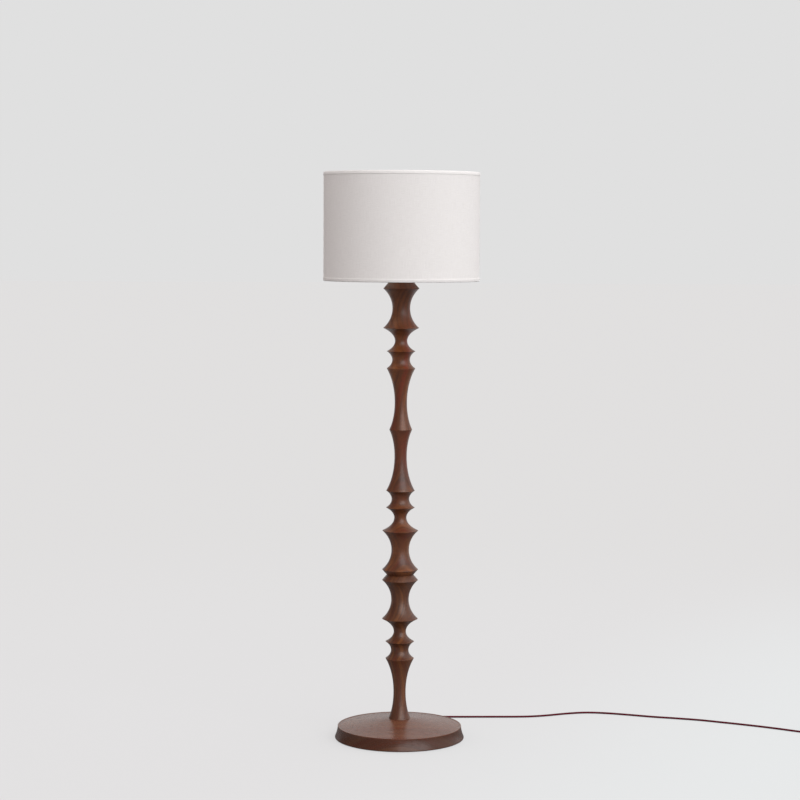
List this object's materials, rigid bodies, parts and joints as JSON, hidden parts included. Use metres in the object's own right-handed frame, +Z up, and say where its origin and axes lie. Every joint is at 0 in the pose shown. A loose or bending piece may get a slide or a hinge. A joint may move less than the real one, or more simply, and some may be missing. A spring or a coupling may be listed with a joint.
{
  "type": "column floor lamp",
  "caption": "Floor lamp: turned wooden column of sharp ridges and hollows on a weighted disc, linen drum shade on a harp, keyed lampholder, textile cord with plug.",
  "frame": {"origin": "centre of the felt's underside, on the floor, below the column's axis", "axes": "+Z up along the column; the viewer stands at -Y; the cord leaves the base at +Y and runs to +X"},
  "size_m": [1.534, 0.56, 1.6435],
  "materials": {
    "walnut": "oiled satin, turned",
    "felt": "pressed wool felt",
    "ballast_iron": "matt black",
    "zinc_steel": "zinc plated",
    "brass": "lacquered satin",
    "nickel": "nickel plated",
    "black_rubber": "matt moulded",
    "black_phenolic": "moulded satin",
    "card_liner": "pressed fibre card",
    "lead_insulation": "matt sleeve",
    "opal_glass": "opal, satin",
    "white_wire": "powder coated",
    "white_liner": "matt film",
    "linen": "plain-woven linen",
    "linen_trim": "folded self-fabric tape",
    "textile_cord": "braided textile over cable",
    "tie_fabric": "woven hook-and-loop tape",
    "plug_plastic": "moulded satin"
  },
  "bodies": {
    "stand": {"felt_pad": "felt", "base_disc": "walnut", "ballast_plate": "ballast_iron", "ballast_screws": "zinc_steel", "base_washer": "zinc_steel", "base_nut": "brass", "cord_clamp": "zinc_steel", "clamp_screws": "zinc_steel", "strain_relief": "black_rubber", "inner_cord": "textile_cord", "column_lower": "walnut", "column_middle": "walnut", "column_upper": "walnut", "threaded_rod": "brass", "check_ring": "brass", "harp_saddle": "brass", "lock_nut": "zinc_steel", "harp": "brass", "harp_post": "brass", "socket_cap": "brass", "socket_shell": "brass", "socket_liner": "card_liner", "socket_body": "black_phenolic", "screw_shell": "brass", "centre_contact": "brass", "terminal_screws": "brass", "leads": "lead_insulation", "cord": "textile_cord", "cord_coil": "textile_cord", "coil_tie": "tie_fabric", "plug_body": "plug_plastic", "plug_blades": "nickel"},
    "shade": {"spider_ring": "white_wire", "bottom_ring": "white_wire", "shade_liner": "white_liner", "shade_fabric": "linen", "trim_top": "linen_trim", "trim_bottom": "linen_trim"},
    "finial": {"finial": "brass"},
    "sleeve_left": {"harp_sleeve_left": "brass"},
    "sleeve_right": {"harp_sleeve_right": "brass"},
    "key": {"switch_key": "black_phenolic"},
    "bulb": {"bulb_cap": "nickel", "bulb_glass": "opal_glass"}
  },
  "joints": [
    {"name": "shade_turn", "type": "hinge", "parent": "stand", "child": "shade", "pos_m": [0, 0, 1.6077], "axis": [0, 0, 1], "continuous": true},
    {"name": "finial_turn", "type": "hinge", "parent": "stand", "child": "finial", "pos_m": [0, 0, 1.61], "axis": [0, 0, 1], "continuous": true},
    {"name": "sleeve_left_slide", "type": "slide", "parent": "stand", "child": "sleeve_left", "axis": [0, 0, 1], "range_m": [0, 0.012]},
    {"name": "sleeve_right_slide", "type": "slide", "parent": "stand", "child": "sleeve_right", "axis": [0, 0, 1], "range_m": [0, 0.012]},
    {"name": "key_turn", "type": "hinge", "parent": "stand", "child": "key", "pos_m": [0, -0.02, 1.3657], "axis": [0, -1, 0], "continuous": true},
    {"name": "bulb_turn", "type": "hinge", "parent": "stand", "child": "bulb", "pos_m": [0, 0, 1.3875], "axis": [0, 0, 1], "continuous": true}
  ]
}
